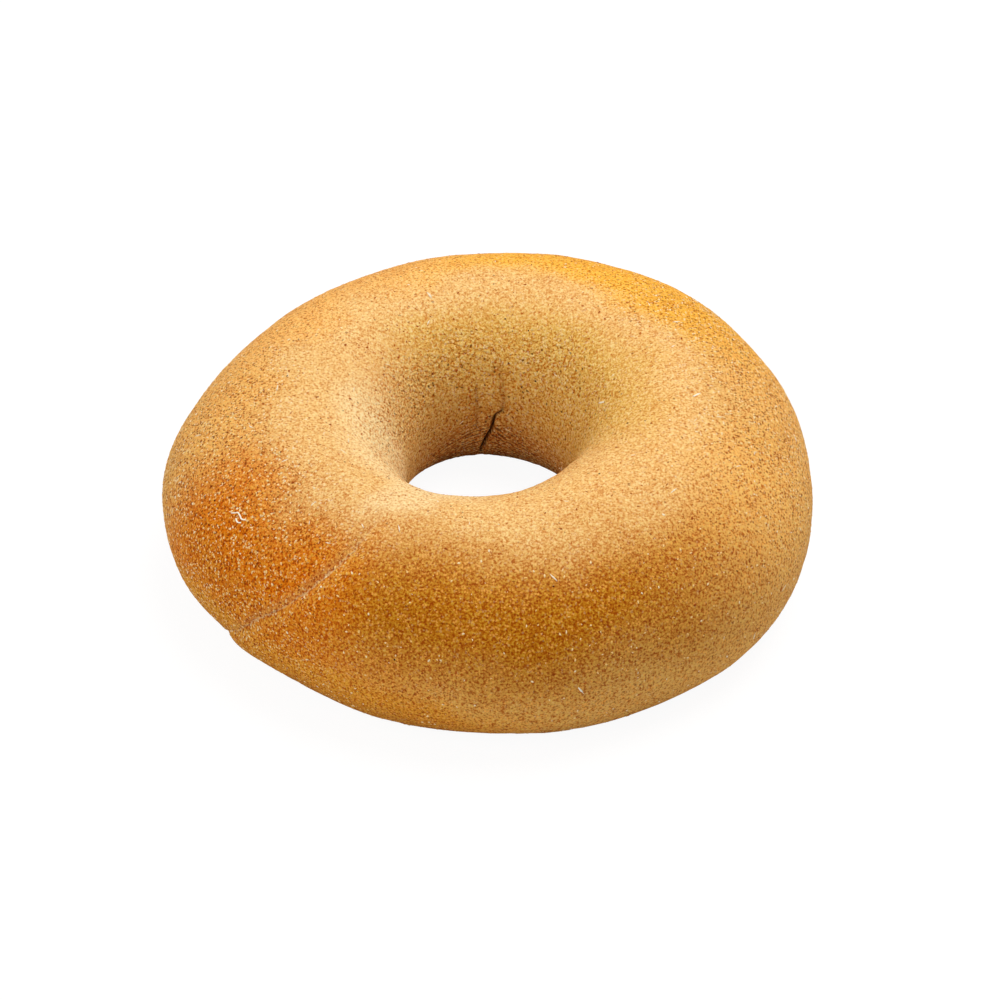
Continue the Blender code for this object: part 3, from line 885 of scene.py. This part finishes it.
looseSkin = {
    # places along each strand, x and y seen from above
    "strands": (
        ((-42.0, -23.4), (-41.4, -23.7), (-40.9, -23.9), (-40.5, -24.6), (-40.2, -25.3), (-39.5, -25.7)),
        ((-41.2, -24.7), (-41.0, -25.3), (-40.7, -25.6), (-40.3, -25.8)),
    ),
    "Half width": 0.15,
    "Flatness": 0.6,
}


def layStrands(strands, under):
    # a mesh of open lines that lie on the crust
    points = []
    edges = []
    for strand in strands:
        for number, (x, y) in enumerate(strand):
            if number:
                edges.append((len(points) - 1, len(points)))
            points.append(under.ray_cast((x / 1000.0, y / 1000.0, 0.1), (0.0, 0.0, -1.0))[1])
    lines = bpy.data.meshes.new("strands")
    lines.from_pydata(points, edges, [])
    return lines


def buildStrandTree():
    tree, given = newTree("curledStrand", [
        ("Geometry", "Geometry"), ("Half width", "Float"), ("Flatness", "Float"), ("Material", "Material")])
    line = addNode(tree, "GeometryNodeMeshToCurve", given["Geometry"])
    line = addNode(tree, "GeometryNodeCurveSplineType", line, spline_type="CATMULL_ROM")
    line = addNode(tree, "GeometryNodeResampleCurve", {"Curve": line, "Count": 24})
    # thin at both ends
    along = addNode(tree, "GeometryNodeSplineParameter").outputs["Factor"]
    arch = addNode(tree, calc, addNode(tree, calc, along, turn / 2.0, operation="MULTIPLY"), operation="SINE")
    arch = addNode(tree, calc, arch, 0.5, operation="POWER")
    arch = addNode(tree, calc, arch, 0.2, operation="MAXIMUM")
    line = addNode(tree, "GeometryNodeSetCurveRadius", {"Curve": line, "Radius": arch})
    width = addNode(tree, calc, given["Half width"], 0.001, operation="MULTIPLY")
    profile = addNode(tree, "GeometryNodeCurvePrimitiveCircle", {"Resolution": 8, "Radius": width})
    squeeze = addNode(tree, "ShaderNodeCombineXYZ", 1.0, given["Flatness"], 1.0)
    profile = addNode(tree, "GeometryNodeTransform", {"Geometry": profile, "Scale": squeeze})
    strand = addNode(tree, "GeometryNodeCurveToMesh",
                     {"Curve": line, "Profile Curve": profile, "Fill Caps": True})
    strand = addNode(tree, "GeometryNodeStoreNamedAttribute",
                     {"Geometry": strand, "Name": "tone", "Value": 1.0}, data_type="FLOAT", domain="POINT")
    return closeTree(tree, strand, given["Material"])


print("loose skin")
strands = growPiece("looseSkin", buildStrandTree(), {**looseSkin, "Material": drySkin},
                    layStrands(looseSkin["strands"], crust))
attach(strands, "root")


# Table, light and camera

studio = {
    "tableSize": 6.0,          # m
    "table": "F4F3F1",
    "glow": 1.06,              # the lit sheet's own white
    "glowShare": 0.88,         # its share in what the camera sees
    # soft lamps: width and place in m, power in W
    "lamps": (
        ("key", 0.55, (0.20, 0.20, 0.60), 3.7),
        ("fill", 0.50, (-0.46, -0.30, 0.32), 1.3),
    ),
    "sky": 0.28,
}

cameraSet = {
    "elevation": 40.606,
    "distance": 0.599,         # m
    "target": (2.18, -9.51, 17.0),
    "lens": 127.42,
}


def buildStudio(size):
    side = size["tableSize"] / 2.0
    mesh = bpy.data.meshes.new("table")
    corners = [(-side, -side, 0), (side, -side, 0), (side, side, 0), (-side, side, 0)]
    mesh.from_pydata(corners, [], [(0, 1, 2, 3)])
    table = bpy.data.objects.new("table", mesh)
    bpy.context.collection.objects.link(table)
    # opal acrylic sheet on a light box: seen, its own glow leaves only a faint shadow on it
    material, tree, shader = newMaterial("opalAcrylic")
    shader.inputs["Base Color"].default_value = linear(size["table"])
    shader.inputs["Roughness"].default_value = 0.6
    glow = addNode(tree, "ShaderNodeEmission", (1.0, 1.0, 1.0, 1.0), size["glow"])
    seen = addNode(tree, calc, addNode(tree, "ShaderNodeLightPath"), size["glowShare"], operation="MULTIPLY")
    both = addNode(tree, "ShaderNodeMixShader", seen, shader, glow)
    tree.links.new(both.outputs[0], tree.nodes["Material Output"].inputs["Surface"])
    mesh.materials.append(material)

    for name, width, place, power in size["lamps"]:
        light = bpy.data.lights.new(name, "AREA")
        light.shape = "DISK"
        light.size = width
        light.energy = power
        lamp = bpy.data.objects.new(name, light)
        lamp.location = place
        lamp.rotation_euler = lamp.location.to_track_quat("Z", "Y").to_euler()
        bpy.context.collection.objects.link(lamp)

    world = bpy.data.worlds.new("studio")
    world.use_nodes = True
    sky = world.node_tree.nodes["Background"]
    sky.inputs["Color"].default_value = (1.0, 1.0, 1.0, 1.0)
    sky.inputs["Strength"].default_value = size["sky"]
    bpy.context.scene.world = world


def buildCamera(size):
    data = bpy.data.cameras.new("camera")
    data.lens = size["lens"]
    data.sensor_width = 36.0
    data.clip_start = 0.01
    camera = bpy.data.objects.new("camera", data)
    elevation = math.radians(size["elevation"])
    x, y, z = [value / 1000.0 for value in size["target"]]
    back = size["distance"]
    camera.location = (x, y - back * math.cos(elevation), z + back * math.sin(elevation))
    camera.rotation_euler = (turn / 4.0 - elevation, 0.0, 0.0)
    bpy.context.collection.objects.link(camera)
    bpy.context.scene.camera = camera


print("studio")
buildStudio(studio)
buildCamera(cameraSet)
bpy.context.scene.view_settings.view_transform = "Standard"
